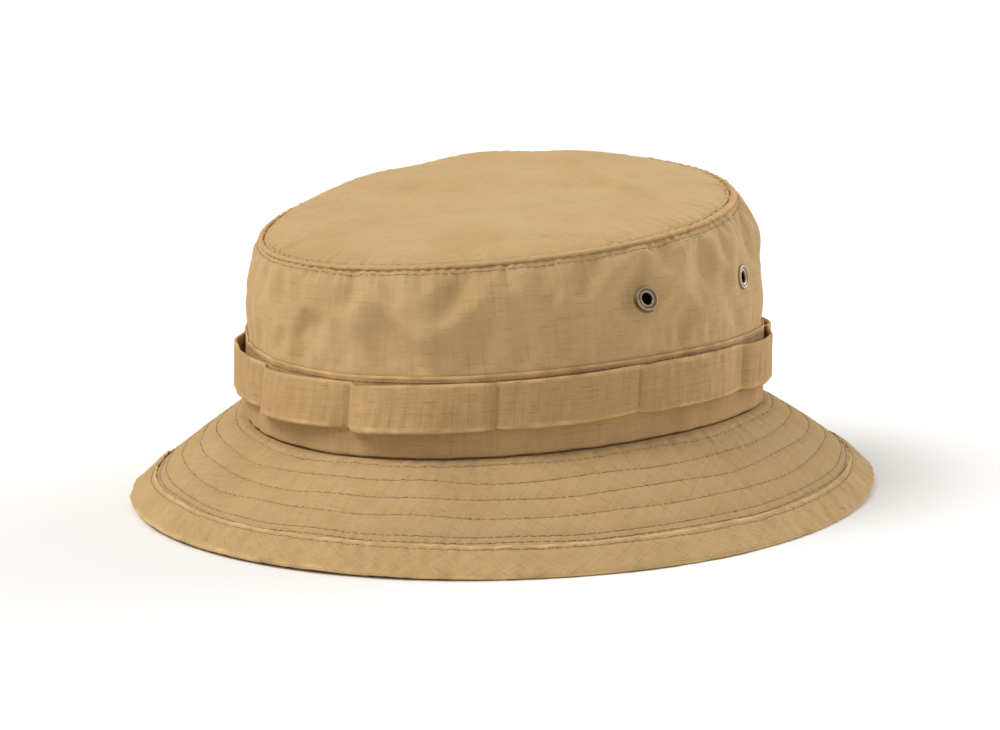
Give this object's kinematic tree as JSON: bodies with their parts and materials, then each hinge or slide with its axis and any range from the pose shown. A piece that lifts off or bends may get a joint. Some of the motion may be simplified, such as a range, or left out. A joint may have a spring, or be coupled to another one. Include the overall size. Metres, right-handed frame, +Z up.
{
  "type": "boonie hat",
  "caption": "Soft wide-brimmed sun hat in ripstop cotton with a quilted brim, vented crown, sweatband and a strap of foliage loops around its base band.",
  "frame": {"origin": "centre of the brim's footprint on the surface the hat stands on", "axes": "+Z up through the crown, -Y towards the front of the hat, +X towards the wearer's left"},
  "size_m": [0.257, 0.282, 0.1042],
  "materials": {
    "crown_cloth": "matt ripstop cotton",
    "band_cloth": "matt ripstop cotton, folded",
    "loop_webbing": "matt ripstop strip, folded and pressed",
    "brim_cloth": "matt ripstop cotton, quilted",
    "brim_stiffener_felt": "needled interlining",
    "binding_cloth": "matt ripstop strip on the straight, folded",
    "sweatband_twill": "soft cotton twill",
    "seam_tape": "cotton bias tape",
    "label_satin": "woven polyester satin, blank",
    "sewing_thread": "spun polyester thread",
    "eyelet_brass": "antiqued brass",
    "washer_brass": "antiqued brass"
  },
  "bodies": {
    "hat": {"base_band": "band_cloth", "base_band_stitching": "sewing_thread", "binding_fold_stitching": "sewing_thread", "brim_edge_binding": "binding_cloth", "brim_edge_stitching": "sewing_thread", "brim_lower_panel": "brim_cloth", "brim_stiffener": "brim_stiffener_felt", "brim_stitch_row_1": "sewing_thread", "brim_stitch_row_2": "sewing_thread", "brim_stitch_row_3": "sewing_thread", "brim_stitch_row_4": "sewing_thread", "brim_stitch_row_5": "sewing_thread", "brim_upper_panel": "brim_cloth", "care_label_stitching": "sewing_thread", "care_label_top": "label_satin", "crown_back_seam_stitching": "sewing_thread", "crown_seam_tape": "seam_tape", "crown_side_panel": "crown_cloth", "crown_top_panel": "crown_cloth", "crown_top_stitching": "sewing_thread", "crown_top_welt": "band_cloth", "foliage_loop_band": "loop_webbing", "loop_bar_tacks": "sewing_thread", "size_label": "label_satin", "size_label_stitching": "sewing_thread", "sweatband": "sweatband_twill", "sweatband_stitching": "sewing_thread", "vent_eyelet_left_front": "eyelet_brass", "vent_eyelet_left_rear": "eyelet_brass", "vent_eyelet_right_front": "eyelet_brass", "vent_eyelet_right_rear": "eyelet_brass", "vent_washer_left_front": "washer_brass", "vent_washer_left_rear": "washer_brass", "vent_washer_right_front": "washer_brass", "vent_washer_right_rear": "washer_brass"},
    "care_label": {"care_label_flap": "label_satin"}
  },
  "joints": [
    {"name": "care_label_swing", "type": "hinge", "parent": "hat", "child": "care_label", "pos_m": [0, 0.09248, 0.09059], "axis": [-1, 0, 0], "range_deg": [0, 100]}
  ]
}
